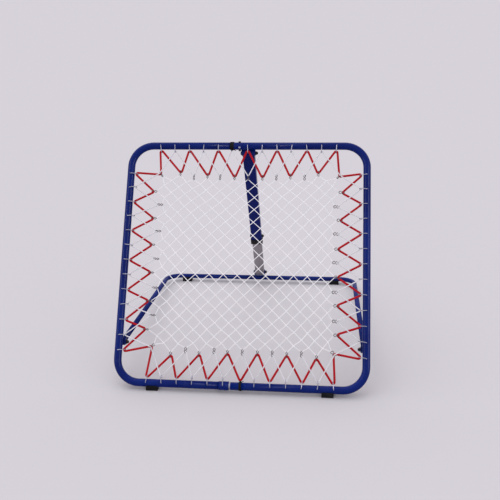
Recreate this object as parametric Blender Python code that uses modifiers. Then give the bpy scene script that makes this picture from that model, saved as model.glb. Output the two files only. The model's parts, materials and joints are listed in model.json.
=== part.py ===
"""Rebound-net frame: a leaning square tube frame with an elastic-hung net, a rear U base and a telescopic strut.

World axes: +X to the right, +Y to the rear, +Z up, metres, origin on the floor under the middle of the object.
The net frame is drawn in its own plane: local X across, local Y up the lean, local Z out of the front.
"""

import math

import bmesh
import bpy
from mathutils import Vector

GAP = 0.0003  # running gap that keeps touching pieces apart

# Net frame
FRAME_SIDE = 1.000
FRAME_TUBE_R = 0.015
FRAME_WALL = 0.0015
FRAME_BEND_R = 0.090  # of the tube's centre line
FRAME_LEAN = math.radians(55)
FRAME_LIFT = 0.012  # floor to the lower edge of the frame plane
FRAME_HALF = FRAME_SIDE / 2 - FRAME_TUBE_R
FRAME_MID = FRAME_SIDE / 2
TOP_UP = FRAME_SIDE - FRAME_TUBE_R
TUBE_SIDES = 16
BEND_STEPS = 7

# Plug joints that let the frame come apart into two halves
TOP_SPLIT_X = -0.020
BOTTOM_SPLIT_X = -0.035
BOTTOM_SPLIT_WIDTH = 0.006
SPIGOT_WALL = 0.0015
SPIGOT_REACH = 0.060
SLEEVE_LENGTH = 0.040
SLEEVE_WALL = 0.0017
JOINT_FASTENER_X = TOP_SPLIT_X - 0.014
JOINT_BOLT_R = 0.003
JOINT_BOLT_TILT = math.radians(20)  # its head leans to the front, which leaves the snap button its travel

# Wire hooks, elastics and net
HOOKS_EACH_WAY = 6
HOOK_END_INSET = 0.1226  # corner of the tube centre lines to the last hook of a side
HOOK_PITCH = (FRAME_HALF - HOOK_END_INSET) / HOOKS_EACH_WAY
HOOK_WIRE_R = 0.0015
PIN_INSET = 0.030  # tube centre line to the point where the elastic turns on its hook
TOP_BAND_X = TOP_SPLIT_X - 0.044
TOP_BAND_WIDTH = 0.018
BOTTOM_BAND_X = 0.006
BOTTOM_BAND_WIDTH = 0.012
BAND_THICKNESS = 0.0012
RED_R = 0.00425
WHITE_R = 0.00225
RED_OUT = 0.0042
WHITE_OUT = 0.0114
LINKS_EACH_WAY = 5
LINK_PITCH = (FRAME_HALF - 0.202) / LINKS_EACH_WAY
# The net is laced by hand, so it hangs a little off the middle. For each side: its links' shift along the side,
# the red turns' distance in from the tube at the middle of their bow, the bow, their slant, and the white turns' distance.
LACING = {
    "top": (0.0075, 0.1180, 0.0180, 0.0000, 0.1260),
    "right": (-0.0030, 0.1005, 0.0070, -0.0065, 0.1100),
    "bottom": (-0.0120, 0.1092, 0.0125, 0.0035, 0.1190),
    "left": (0.0043, 0.0990, 0.0057, 0.0015, 0.1220),
}
# The corner link at each side's clockwise end: its distances in from the tube across and along the side.
CORNER_PINS = {"top": (0.105, 0.124), "right": (0.129, 0.118), "bottom": (0.130, 0.135), "left": (0.119, 0.122)}
NET_THICKNESS = 0.003
NET_OUT = 0.007
NET_INSET = 0.020  # net-side turn of an elastic to the edge of the net
NET_FINGER_WIDTH = 0.005

# Rear base
BASE_TUBE_R = 0.011
BASE_WALL = 0.0015
BASE_HALF = FRAME_HALF - 0.006
BASE_LENGTH = 0.817  # side pivot to the rear tube's centre line
BASE_BEND_R = 0.070
BASE_SPLIT_X = -0.027
BASE_FASTENER_X = BASE_SPLIT_X - 0.011
BASE_SPIGOT_WALL = 0.0013
REAR_TUBE_HEIGHT = 0.025
SIDE_PIVOT_UP = 0.172
SIDE_PIVOT_OUT = -(FRAME_TUBE_R + BASE_TUBE_R + 0.006)
ARM_END = 0.006

# Pivot bolts and the plates that hold them
PIVOT_BOLT_R = 0.004
PIVOT_HEAD_R = 0.0072
PIVOT_HEAD_HEIGHT = 0.0052
PIVOT_NUT_HEIGHT = 0.0065
PLATE = 0.003
LUG_END_R = BASE_TUBE_R

# Telescopic strut
STRUT_OUTER_WIDTH = 0.050
STRUT_OUTER_DEPTH = 0.030
STRUT_WALL = 0.002
STRUT_CLEARANCE = 0.0005
STRUT_CORNER_R = 0.0015  # inside corners of the box tubes
STRUT_TOP_UP = TOP_UP - 0.017
STRUT_TOP_OUT = -(FRAME_TUBE_R + 0.023)
STRUT_TOP_END = 0.009  # outer tube beyond the top pivot
STRUT_OUTER_LENGTH = 0.557  # top pivot to the outer tube's lower end
STRUT_OVERLAP = 0.249  # inner tube's length inside the outer one
STRUT_SHORTER = 0.2142  # travel of the clamp slot from rest, each way
STRUT_LONGER = 0.0398
STRUT_FOOT_RISE = BASE_TUBE_R + 0.020  # rear tube's centre line to the foot pivot
FOOT_END_R = 0.0125
FOOT_HOLE_R = 0.0068  # loose on its bolt, so that the foot can rock and slide a little
COLLAR_START = STRUT_OUTER_LENGTH - 0.018
COLLAR_LENGTH = 0.030
CLAMP_PLACE = COLLAR_START - 0.013  # top pivot to the clamp bolt
COLLAR_WALL = 0.003

# Snap buttons
BUTTON_R = 0.0045
BUTTON_PROUD = 0.0015
BUTTON_FLANGE_R = 0.0052
REAR_BUTTON_R = 0.0033
REAR_BUTTON_FLANGE_R = 0.0042
BUTTON_TILT = math.radians(45)
REAR_BUTTON_TILT = math.radians(65)

# Feet
FRONT_FOOT = (0.046, 0.036)
FRONT_FOOT_X = 0.340
REAR_FOOT = (0.047, 0.028)
REAR_FOOT_X = 0.379
FOOT_SCREW_R = 0.002
FOOT_SCREW_HEAD_R = 0.0045
FOOT_RECESS_R = 0.005
FOOT_RECESS_DEPTH = 0.0042

BLUE = (0.010, 0.030, 0.260)
BLACK = (0.012, 0.012, 0.014)
ZINC = (0.62, 0.63, 0.66)


def plane_yz(up, out):
    """Height and depth of a point of the frame plane, with the depth counted from the frame's lower edge."""
    depth = up * math.cos(FRAME_LEAN) - out * math.sin(FRAME_LEAN)
    height = up * math.sin(FRAME_LEAN) + out * math.cos(FRAME_LEAN) + FRAME_LIFT
    return Vector((0, depth, height))


def base_tilt(side_pivot):
    """Angle by which the base falls from its side pivots to the rear tube."""
    return -math.asin((side_pivot.z - REAR_TUBE_HEIGHT) / BASE_LENGTH)


SIDE_PIVOT = plane_yz(SIDE_PIVOT_UP, SIDE_PIVOT_OUT)
STRUT_PIVOT = plane_yz(STRUT_TOP_UP, STRUT_TOP_OUT)
BOTTOM_TUBE = plane_yz(FRAME_TUBE_R, 0)
BASE_TILT = base_tilt(SIDE_PIVOT)
ALONG_BASE = Vector((0, math.cos(BASE_TILT), math.sin(BASE_TILT)))
OFF_BASE = Vector((0, -math.sin(BASE_TILT), math.cos(BASE_TILT)))
REAR_TUBE = SIDE_PIVOT + ALONG_BASE * BASE_LENGTH
FOOT_PIVOT = REAR_TUBE + OFF_BASE * STRUT_FOOT_RISE
STRUT_LENGTH = (FOOT_PIVOT - STRUT_PIVOT).length
STRUT_TILT = math.atan2(FOOT_PIVOT.y - STRUT_PIVOT.y, STRUT_PIVOT.z - FOOT_PIVOT.z)
FRONT_REACH = BOTTOM_TUBE.y - FRONT_FOOT[1] / 2
REAR_REACH = REAR_TUBE.y + REAR_FOOT[1] / 2
MIDDLE = Vector((0, -(FRONT_REACH + REAR_REACH) / 2, 0))  # moves the drawing to the middle of its footprint


# ---- scene helpers ----

def clear_scene():
    for old in list(bpy.data.objects):
        bpy.data.objects.remove(old, do_unlink=True)


def new_collection(title):
    made = bpy.data.collections.new(title)
    bpy.context.scene.collection.children.link(made)
    return made


def paint(obj, colour, metallic=0.0, roughness=0.5):
    made = bpy.data.materials.new(obj.name + "_material")
    made.use_nodes = True
    shader = made.node_tree.nodes["Principled BSDF"]
    shader.inputs["Base Color"].default_value = (*colour, 1)
    shader.inputs["Metallic"].default_value = metallic
    shader.inputs["Roughness"].default_value = roughness
    obj.data.materials.clear()
    obj.data.materials.append(made)
    return obj


def add_axes(name, location, rotation_x=0.0, parent=None):
    """An empty that carries the pieces of one body, or the axis of one joint."""
    axes = bpy.data.objects.new(name, None)
    axes.location = location
    axes.rotation_euler = (rotation_x, 0, 0)
    axes.empty_display_size = 0.05
    axes.parent = parent
    PARTS.objects.link(axes)
    return axes


def hold(obj, parent, location=(0, 0, 0), rotation=(0, 0, 0)):
    obj.parent = parent
    obj.location = location
    obj.rotation_euler = rotation
    return obj


def add_mesh(name, work, collection=None):
    data = bpy.data.meshes.new(name)
    bmesh.ops.recalc_face_normals(work, faces=work.faces)
    work.to_mesh(data)
    work.free()
    obj = bpy.data.objects.new(name, data)
    (collection or PARTS).objects.link(obj)
    return obj


def add_curve(name, splines, cyclic, flat=False):
    data = bpy.data.curves.new(name, "CURVE")
    data.dimensions = "2D" if flat else "3D"
    for points in splines:
        spline = data.splines.new("POLY")
        spline.points.add(len(points) - 1)
        for point, place in zip(spline.points, points):
            point.co = (*place, 0, 1) if flat else (*place, 1)
        spline.use_cyclic_u = cyclic
    obj = bpy.data.objects.new(name, data)
    PARTS.objects.link(obj)
    return obj


def as_mesh(obj):
    """Replaces a curve by the mesh that it draws, so that it can take Booleans."""
    bpy.context.view_layer.update()
    graph = bpy.context.evaluated_depsgraph_get()
    data = bpy.data.meshes.new_from_object(obj.evaluated_get(graph))
    work = bmesh.new()
    work.from_mesh(data)
    bmesh.ops.remove_doubles(work, verts=work.verts, dist=1e-6)
    work.to_mesh(data)
    work.free()
    name = obj.name
    made = bpy.data.objects.new(name, data)
    PARTS.objects.link(made)
    made.matrix_world = obj.matrix_world.copy()
    bpy.data.objects.remove(obj, do_unlink=True)
    made.name = name
    return made


def solid_cylinder(radius, length, sides, centre=(0, 0, 0), along="Z"):
    """A bmesh cylinder about its centre, with its length along one axis."""
    work = bmesh.new()
    bmesh.ops.create_cone(
        work, cap_ends=True, segments=sides, radius1=radius, radius2=radius, depth=length
    )
    if along == "X":
        bmesh.ops.rotate(work, verts=work.verts, matrix=ROTATE_Z_TO_X)
    if along == "Y":
        bmesh.ops.rotate(work, verts=work.verts, matrix=ROTATE_Z_TO_Y)
    bmesh.ops.translate(work, verts=work.verts, vec=centre)
    return work


def solid_box(size, centre=(0, 0, 0)):
    work = bmesh.new()
    bmesh.ops.create_cube(work, size=1)
    bmesh.ops.scale(work, verts=work.verts, vec=size)
    bmesh.ops.translate(work, verts=work.verts, vec=centre)
    return work


def add_boolean(obj, other, operation):
    modifier = obj.modifiers.new(operation.title(), "BOOLEAN")
    modifier.operation = operation
    modifier.solver = "EXACT"
    modifier.object = other
    other.hide_render = True
    other.display_type = "WIRE"
    for owner in list(other.users_collection):
        owner.objects.unlink(other)
    CUTTERS.objects.link(other)
    return obj


def cut(obj, work, parent=None, location=(0, 0, 0), rotation=(0, 0, 0)):
    """Cuts a bmesh shape, placed under its own parent, out of an object."""
    tool = add_mesh(obj.name + "_cutter", work)
    hold(tool, parent, location, rotation)
    return add_boolean(obj, tool, "DIFFERENCE")


def join(obj, other):
    return add_boolean(obj, other, "UNION")


def add_on(obj, work, label):
    """Joins a bmesh shape, drawn in the object's own axes, onto it."""
    piece = add_mesh(obj.name + "_" + label, work)
    piece.parent = obj
    return join(obj, piece)


def plate(name, loops, thickness):
    """A flat outline with any inner loops left open, thickness shared to both sides of its plane."""
    obj = add_curve(name, loops, cyclic=True, flat=True)
    obj.data.fill_mode = "BOTH"
    obj.data.extrude = thickness / 2
    return as_mesh(obj)


def tube_along(name, splines, radius, cyclic=False, rings=2):
    obj = add_curve(name, splines, cyclic)
    obj.data.bevel_depth = radius
    obj.data.bevel_resolution = rings
    obj.data.use_fill_caps = True
    return obj


def hollow_tube(name, points, radius, wall):
    """A bent tube, open at both ends."""
    obj = add_curve(name, [points], cyclic=False)
    obj.data.bevel_depth = radius
    obj.data.bevel_resolution = TUBE_SIDES // 2 - 2
    obj = as_mesh(obj)
    shell = obj.modifiers.new("Wall", "SOLIDIFY")
    shell.thickness = wall
    shell.offset = -1
    shell.use_even_offset = True
    return obj


# ---- outline helpers ----

def arc(centre, radius, start, end, steps):
    """Points of an arc in a plane, both ends included, angles in degrees."""
    angles = [math.radians(start + (end - start) * i / steps) for i in range(steps + 1)]
    return [(centre[0] + radius * math.cos(a), centre[1] + radius * math.sin(a)) for a in angles]


def rounded_rectangle(width, height, radius, steps=3):
    points = []
    for quarter, (side, top) in enumerate(((1, 1), (-1, 1), (-1, -1), (1, -1))):
        centre = (side * (width / 2 - radius), top * (height / 2 - radius))
        points += arc(centre, radius, 90 * quarter, 90 * quarter + 90, steps)
    return points


def circle(radius, steps, centre=(0, 0)):
    return arc(centre, radius, 0, 360 - 360 / steps, steps - 1)


def lug_outline(foot_half, foot_back, end_radius):
    """A plate that stands on a flat foot and ends in a round nose about the origin."""
    nose = arc((0, 0), end_radius, 180, 0, 8)
    return [(foot_half, -foot_back), *reversed(nose), (-foot_half, -foot_back)]


# ---- fasteners, drawn along +Z from the face that their head bears on ----

def add_bolt(name, radius, length, head_radius, head_height):
    """Hexagon head below the origin, shank above it."""
    bolt = add_mesh(name, solid_cylinder(head_radius, head_height, 6, (0, 0, -head_height / 2)))
    overlap = head_height / 2
    shank = solid_cylinder(radius, length + overlap, 16, (0, 0, (length - overlap) / 2))
    return add_on(bolt, shank, "shank")


def add_cap_nut(name, bolt_radius, radius, height):
    """A nut with a closed domed end, standing on the origin."""
    nut = add_mesh(name, solid_cylinder(radius, height, 6, (0, 0, height / 2)))
    dome = bmesh.new()
    bmesh.ops.create_uvsphere(dome, u_segments=12, v_segments=6, radius=radius * 0.8)
    bmesh.ops.translate(dome, verts=dome.verts, vec=(0, 0, height * 0.75))
    add_on(nut, dome, "dome")
    bore = solid_cylinder(bolt_radius + GAP, height * 2, 16, (0, 0, 0))
    return cut(nut, bore, nut)


# ---- net frame ----

def frame_path(side, top_x, bottom_x):
    """Centre line of one half of the frame, from its top end round the side to its bottom end."""
    bend = FRAME_HALF - FRAME_BEND_R
    top = arc((bend, FRAME_MID + bend), FRAME_BEND_R, 90, 0, BEND_STEPS)
    bottom = arc((bend, FRAME_MID - bend), FRAME_BEND_R, 0, -90, BEND_STEPS)
    points = [(side * x, y, 0) for x, y in top + bottom]
    return [(top_x, TOP_UP, 0), *points, (bottom_x, FRAME_TUBE_R, 0)]


def hook_wire(place, inward, root, lift):
    """One wire hook: out of the tube's front, over its inner edge and round behind the elastic."""
    tip = PIN_INSET + HOOK_WIRE_R / 2
    profile = (
        (0, root),
        (0.0015, root + 0.0042),
        (0.010, root + 0.0046),
        (0.024, 0.0145 + lift),
        (tip, 0.0100 + lift),
        (tip, -0.0015 + lift),
        (0.0225, -0.0030 + lift),
    )
    return [(place[0] + inward[0] * a, place[1] + inward[1] * a, n) for a, n in profile]


def hook_rows():
    """Every hook place: (side, point on the tube's centre line, inward direction, count along the side)."""
    rows = []
    for i in range(-HOOKS_EACH_WAY, HOOKS_EACH_WAY + 1):
        along = i * HOOK_PITCH
        rows.append(("top", (along, TOP_UP), (0, -1), i))
        rows.append(("bottom", (along, FRAME_TUBE_R), (0, 1), i))
        rows.append(("left", (-FRAME_HALF, FRAME_MID + along), (1, 0), i))
        rows.append(("right", (FRAME_HALF, FRAME_MID + along), (-1, 0), i))
    return rows


def hooks_for(half):
    """Wires of one half of the frame, leaving out the two places that a cord band takes and the sleeve's own."""
    wires = []
    for side, place, inward, i in hook_rows():
        banded = (side, i) in (("top", -1), ("bottom", 0), ("bottom", -1))
        split = TOP_SPLIT_X if side == "top" else BOTTOM_SPLIT_X
        on_left = side == "left" or (side in ("top", "bottom") and place[0] < split)
        if not banded and on_left == (half == "left"):
            lift = 0 if i % 2 == 0 else WHITE_OUT - RED_OUT
            wires.append(hook_wire(place, inward, FRAME_TUBE_R - FRAME_WALL / 2, lift))
    return wires


def add_frame_half(name, side):
    half = "left" if side < 0 else "right"
    top_x = TOP_SPLIT_X + side * GAP / 2
    bottom_x = BOTTOM_SPLIT_X + side * BOTTOM_SPLIT_WIDTH / 2
    tube = hollow_tube(name, frame_path(side, top_x, bottom_x), FRAME_TUBE_R, FRAME_WALL)
    hold(tube, FRAME_AXES)
    wires = as_mesh(tube_along(name + "_hooks", hooks_for(half), HOOK_WIRE_R, rings=0))
    join(tube, hold(wires, FRAME_AXES))
    if side < 0:
        cut_joint_holes(tube)
    screw = solid_cylinder(FOOT_SCREW_R + GAP, FRAME_TUBE_R, 12, (0, 0, -FRAME_TUBE_R))
    foot = BOTTOM_TUBE + MIDDLE + Vector((side * FRONT_FOOT_X, 0, 0))
    cut(tube, screw, None, foot)
    return paint(tube, BLUE, roughness=0.25)


def cut_joint_holes(obj):
    """Holes for the joint bolt and the snap button through a tube of the upper joint."""
    centre = (JOINT_FASTENER_X, TOP_UP, 0)
    bolt = solid_cylinder(JOINT_BOLT_R + GAP, 3 * FRAME_TUBE_R, 16, along="Y")
    cut(obj, bolt, FRAME_AXES, centre, (JOINT_BOLT_TILT, 0, 0))
    button = solid_cylinder(BUTTON_R + GAP, FRAME_TUBE_R, 16, (0, 0, FRAME_TUBE_R))
    cut(obj, button, FRAME_AXES, centre, (BUTTON_TILT, 0, 0))


def spigot(name, radius, wall, length):
    """A straight tube along X that plugs into the ends of two others."""
    ends = [(-length / 2, 0, 0), (length / 2, 0, 0)]
    return hollow_tube(name, ends, radius, wall)


def add_frame_joints():
    radius = FRAME_TUBE_R - FRAME_WALL - GAP
    top = spigot("top_joint_spigot", radius, SPIGOT_WALL, 2 * SPIGOT_REACH)
    hold(top, FRAME_AXES, (TOP_SPLIT_X, TOP_UP, 0))
    cut_joint_holes(top)
    paint(top, ZINC, 1.0, 0.35)
    bottom = spigot("bottom_joint_spigot", radius, SPIGOT_WALL, 2 * SPIGOT_REACH)
    hold(bottom, FRAME_AXES, (BOTTOM_SPLIT_X, FRAME_TUBE_R, 0))
    paint(bottom, ZINC, 1.0, 0.35)
    sleeve_x = BOTTOM_SPLIT_X - BOTTOM_SPLIT_WIDTH / 2 - SLEEVE_LENGTH / 2
    sleeve_r = FRAME_TUBE_R + GAP + SLEEVE_WALL
    sleeve = spigot("bottom_joint_sleeve", sleeve_r, SLEEVE_WALL, SLEEVE_LENGTH)
    hold(sleeve, FRAME_AXES, (sleeve_x, FRAME_TUBE_R, 0))
    lift = WHITE_OUT - RED_OUT
    wire = hook_wire((-HOOK_PITCH, FRAME_TUBE_R), (0, 1), sleeve_r - SLEEVE_WALL / 2, lift)
    hook = as_mesh(tube_along("sleeve_hook", [wire], HOOK_WIRE_R, rings=0))
    join(sleeve, hold(hook, FRAME_AXES))
    paint(sleeve, BLUE, roughness=0.25)


def add_joint_bolt():
    """The bolt that crosses the upper joint, head on the frame's upper edge, with its nut below."""
    reach = FRAME_TUBE_R + GAP
    rise = reach * math.cos(JOINT_BOLT_TILT)
    lean = reach * math.sin(JOINT_BOLT_TILT)
    turn = (math.radians(90) + JOINT_BOLT_TILT, 0, 0)
    length = 2 * reach + 0.006
    bolt = add_bolt("top_joint_bolt", JOINT_BOLT_R, length, 0.0055, 0.004)
    hold(bolt, FRAME_AXES, (JOINT_FASTENER_X, TOP_UP + rise, lean), turn)
    paint(bolt, BLACK, 0.6, 0.4)
    nut = add_mesh("top_joint_nut", solid_cylinder(0.0055, 0.005, 6, (0, 0, 0.0025)))
    bore = solid_cylinder(JOINT_BOLT_R + GAP, 0.02, 16)
    cut(nut, bore, nut)
    hold(nut, FRAME_AXES, (JOINT_FASTENER_X, TOP_UP - rise, -lean), turn)
    paint(nut, BLACK, 0.6, 0.4)


def add_snap_button(name, axes, radius, flange_radius, tube_radius, bore_radius):
    """A domed button on a flange inside the spigot; local Z runs out of the tube along its travel."""
    seat = math.sqrt(bore_radius**2 - flange_radius**2) - GAP
    flange = 0.001
    top = tube_radius + BUTTON_PROUD
    button = add_mesh(name, solid_cylinder(flange_radius, flange, 14, (0, 0, seat - flange / 2)))
    dome_height = radius * 0.35
    stem = top - dome_height - seat + flange / 2
    post = solid_cylinder(radius, stem, 14, (0, 0, seat - flange / 2 + stem / 2))
    add_on(button, post, "post")
    dome = bmesh.new()
    bmesh.ops.create_uvsphere(dome, u_segments=14, v_segments=6, radius=radius * 0.98)
    bmesh.ops.scale(dome, verts=dome.verts, vec=(1, 1, dome_height / (radius * 0.98)))
    bmesh.ops.translate(dome, verts=dome.verts, vec=(0, 0, top - dome_height))
    add_on(button, dome, "dome")
    hold(button, axes)
    paint(button, ZINC, 1.0, 0.2)
    return seat - flange


def add_button_spring(name, axes, start, depth, length, width, thickness):
    """The V leaf spring under a button: one leg below its flange, the other across the spigot."""
    top = start - GAP
    low = top - depth
    outline = [
        (0.004, top),
        (-length, top),
        (-length - thickness * 1.5, (top + low) / 2),
        (-length, low),
        (-length * 0.35, low),
        (-length * 0.35, low + thickness),
        (-length + thickness, low + thickness),
        (-length, (top + low) / 2),
        (-length + thickness, top - thickness),
        (0.004, top - thickness),
    ]
    spring = plate(name, [outline], width)
    hold(spring, axes, rotation=(math.radians(90), 0, 0))
    paint(spring, ZINC, 1.0, 0.3)


def add_top_button():
    axes = add_axes("top_button_axis", (JOINT_FASTENER_X, TOP_UP, 0), BUTTON_TILT, FRAME_AXES)
    bore = FRAME_TUBE_R - FRAME_WALL - GAP - SPIGOT_WALL
    below = add_snap_button("top_snap_button", axes, BUTTON_R, BUTTON_FLANGE_R, FRAME_TUBE_R, bore)
    add_button_spring("top_button_spring", axes, below, 0.0165, 0.032, 0.004, 0.0006)


def add_cord_band(name, x, width, up, inward, out, reach):
    """A black cord wound round the tube, with the tail that holds an elastic where no hook fits."""
    inner = circle(FRAME_TUBE_R + GAP, TUBE_SIDES)
    outer = circle(FRAME_TUBE_R + GAP + BAND_THICKNESS, TUBE_SIDES)
    band = plate(name, [outer, inner], width)
    hold(band, FRAME_AXES, (x, up, 0), (0, math.radians(90), 0))
    start = FRAME_TUBE_R + BAND_THICKNESS / 2
    ends = [(x, up + inward * start, out / 2), (x, up + inward * reach, out)]
    tail = as_mesh(tube_along(name + "_tail", [ends], 0.0012, rings=1))
    join(band, hold(tail, FRAME_AXES))
    paint(band, BLACK, roughness=0.8)


def add_cord_bands():
    tail = PIN_INSET - HOOK_WIRE_R
    white = tail - turn_radius(WHITE_R) - WHITE_R
    red = tail - turn_radius(RED_R) - RED_R
    add_cord_band("top_cord_band", TOP_BAND_X, TOP_BAND_WIDTH, TOP_UP, -1, WHITE_OUT, white)
    add_cord_band("bottom_cord_band", BOTTOM_BAND_X, BOTTOM_BAND_WIDTH, FRAME_TUBE_R, 1, RED_OUT, red)


# ---- elastics and net ----

def turn_radius(elastic_radius):
    """Radius of an elastic's centre line where it turns round a hook or a link."""
    return elastic_radius + HOOK_WIRE_R + GAP


def side_point(side, along, reach):
    """A point of the frame plane, counted along one side of the frame, clockwise, and out from its middle."""
    turned = {"top": (along, reach), "right": (reach, -along), "bottom": (-along, -reach), "left": (-reach, along)}
    x, y = turned[side]
    return (x, FRAME_MID + y)


def net_turn(side, kind, i):
    """Distance along a side and out from the middle of the net-side turn number i."""
    shift, red_inset, bow, slant, white_inset = LACING[side]
    along = i * LINK_PITCH + shift
    if kind == "white":
        return along, FRAME_HALF - white_inset
    share = i / LINKS_EACH_WAY
    return along, FRAME_HALF - red_inset + bow * (share**2 - 0.5) + slant * share


def corner_turn(side, inset=0):
    """The link at the side's clockwise corner, in the same two distances."""
    along, reach = CORNER_PINS[side]
    return FRAME_HALF - along - inset, FRAME_HALF - reach - inset


def hook_turn(side, i):
    """Distance along a side of hook number i, moved where a cord band takes the hook's place."""
    if side == "top" and i == -1:
        return TOP_BAND_X
    if side == "bottom" and i == 0:
        return -BOTTOM_BAND_X
    return i * HOOK_PITCH


def elastic_turns(kind):
    """Every turn of one elastic in order: (centre, +1 for a turn at the net or -1 for one at a hook)."""
    turns = []
    start = HOOKS_EACH_WAY if kind == "red" else HOOKS_EACH_WAY - 1
    for side in ("top", "right", "bottom", "left"):
        for i in range(-start, start + 1):
            if (i + start) % 2 == 0:
                place = side_point(side, hook_turn(side, i), FRAME_HALF - PIN_INSET)
                turns.append((place, -1))
            else:
                turns.append((side_point(side, *net_turn(side, kind, i)), 1))
        turns.append((side_point(side, *corner_turn(side)), 1))
    return turns


def wrapped_path(turns, radius, steps):
    """A closed line pulled tight round the turns, each an arc of the radius, in steps."""
    headings = []
    for (here, turn), (there, next_turn) in zip(turns, turns[1:] + turns[:1]):
        across = Vector(there) - Vector(here)
        slew = math.asin((next_turn - turn) * radius / across.length)
        headings.append(math.atan2(across.y, across.x) - slew)
    points = []
    for index, (centre, turn) in enumerate(turns):
        before = headings[index - 1]
        swing = (headings[index] - before + math.pi) % (2 * math.pi) - math.pi
        for step in range(steps + 1):
            angle = before + swing * step / steps - turn * math.pi / 2
            points.append((centre[0] + radius * math.cos(angle), centre[1] + radius * math.sin(angle)))
    return points


def add_elastic(name, kind, radius, out, colour):
    path = wrapped_path(elastic_turns(kind), turn_radius(radius), 2)
    points = [(x, y, 0) for x, y in path]
    elastic = tube_along(name, [points], radius, cyclic=True, rings=1)
    hold(elastic, FRAME_AXES, (0, 0, out))
    paint(elastic, colour, roughness=0.7)


def net_outline():
    """Edge of the net with a finger at every link, each ending just short of its elastic."""
    outline = []
    half = NET_FINGER_WIDTH / 2
    for side in ("top", "right", "bottom", "left"):
        for i in range(-LINKS_EACH_WAY, LINKS_EACH_WAY + 1):
            kind, radius = ("red", RED_R) if i % 2 else ("white", WHITE_R)
            along, reach = net_turn(side, kind, i)
            tip = reach - turn_radius(radius) - radius - 2 * GAP
            knot = reach - NET_INSET
            corners = ((-half, knot), (-half, tip), (half, tip), (half, knot))
            outline += [side_point(side, along + step, out) for step, out in corners]
        outline.append(side_point(side, *corner_turn(side, NET_INSET)))
    return outline


def add_net():
    net = plate("net", [net_outline()], NET_THICKNESS)
    hold(net, FRAME_AXES, (0, 0, NET_OUT))
    paint(net, (0.80, 0.80, 0.82), roughness=0.8)


# ---- brackets ----

def add_channel(name, axes, width, outline, web_cut, hole_radius, holder):
    """A U bracket across X: an outline as wide as both ears, emptied between them, with a pivot hole."""
    bracket = plate(name, [outline], width)
    hold(bracket, axes, rotation=(math.radians(90), 0, math.radians(90)))
    cut(bracket, web_cut, axes)
    pin = solid_cylinder(hole_radius, width * 2, 16, along="X")
    cut(bracket, pin, axes)
    paint(bracket, holder, roughness=0.3)
    return bracket


def add_pivot_lug(name, side):
    """The channel behind a side tube that holds the end of a base arm."""
    axes = add_axes(name + "_axes", (side * BASE_HALF, SIDE_PIVOT_UP, SIDE_PIVOT_OUT), 0, FRAME_AXES)
    foot = -SIDE_PIVOT_OUT - FRAME_TUBE_R - GAP
    inside = 2 * (BASE_TUBE_R + 2 * GAP)
    outline = [(y, -z) for y, z in lug_outline(LUG_END_R + 0.003, foot, LUG_END_R)]
    depth = foot - PLATE + 2 * LUG_END_R
    clear = solid_box((inside, 4 * LUG_END_R, depth), (0, 0, foot - PLATE - depth / 2))
    add_channel(name, axes, inside + 2 * PLATE, outline, clear, PIVOT_BOLT_R + GAP, BLUE)


def add_side_pivot(label, side):
    """Bolt from the outer ear inward and its cap nut on the inner ear."""
    ear = BASE_TUBE_R + 2 * GAP + PLATE + GAP
    start = (side * (BASE_HALF + ear), SIDE_PIVOT_UP, SIDE_PIVOT_OUT)
    end = (side * (BASE_HALF - ear), SIDE_PIVOT_UP, SIDE_PIVOT_OUT)
    turn = (0, math.radians(-90 * side), 0)
    length = 2 * ear + PIVOT_NUT_HEIGHT * 0.8
    bolt = add_bolt("pivot_bolt_" + label, PIVOT_BOLT_R, length, PIVOT_HEAD_R, PIVOT_HEAD_HEIGHT)
    hold(bolt, FRAME_AXES, start, turn)
    paint(bolt, BLACK, 0.6, 0.35)
    nut = add_cap_nut("pivot_nut_" + label, PIVOT_BOLT_R, PIVOT_HEAD_R, PIVOT_NUT_HEIGHT)
    hold(nut, FRAME_AXES, end, turn)
    paint(nut, BLACK, 0.6, 0.35)


def add_top_bracket():
    axes = add_axes("top_bracket_axes", (0, STRUT_TOP_UP, STRUT_TOP_OUT), 0, FRAME_AXES)
    foot = -STRUT_TOP_OUT - FRAME_TUBE_R - GAP
    inside = STRUT_OUTER_WIDTH + 2 * STRUT_CLEARANCE
    outline = [(y, -z) for y, z in lug_outline(TOP_UP - STRUT_TOP_UP, foot, LUG_END_R + 0.001)]
    depth = foot - PLATE + 2 * LUG_END_R
    clear = solid_box((inside, 0.08, depth), (0, 0, foot - PLATE - depth / 2))
    add_channel("top_bracket", axes, inside + 2 * PLATE, outline, clear, PIVOT_BOLT_R + GAP, BLUE)


def add_foot_bracket():
    """The channel on the rear tube that holds the strut's foot."""
    axes = add_axes("foot_bracket_axes", (0, BASE_LENGTH, STRUT_FOOT_RISE), 0, BASE_AXES)
    foot = STRUT_FOOT_RISE - BASE_TUBE_R - GAP
    inside = foot_width() + 2 * STRUT_CLEARANCE + GAP
    outline = lug_outline(LUG_END_R + 0.001, foot, LUG_END_R + 0.001)
    depth = foot - PLATE + 2 * LUG_END_R
    clear = solid_box((inside, 0.06, depth), (0, 0, PLATE - foot + depth / 2))
    add_channel("strut_foot_bracket", axes, inside + 2 * PLATE, outline, clear, PIVOT_BOLT_R + GAP, BLUE)


def add_cross_bolt(label, axes, ear, place=(0, 0, 0)):
    """A pivot bolt across X, head on the left ear, cap nut on the right one."""
    length = 2 * ear + PIVOT_NUT_HEIGHT * 0.8
    turn = (0, math.radians(90), 0)
    left = (-ear, place[1], place[2])
    right = (ear, place[1], place[2])
    bolt = add_bolt(label + "_bolt", PIVOT_BOLT_R, length, PIVOT_HEAD_R, PIVOT_HEAD_HEIGHT)
    paint(hold(bolt, axes, left, turn), BLACK, 0.6, 0.35)
    nut = add_cap_nut(label + "_nut", PIVOT_BOLT_R, PIVOT_HEAD_R, PIVOT_NUT_HEIGHT)
    paint(hold(nut, axes, right, turn), BLACK, 0.6, 0.35)


# ---- rear base ----

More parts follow.
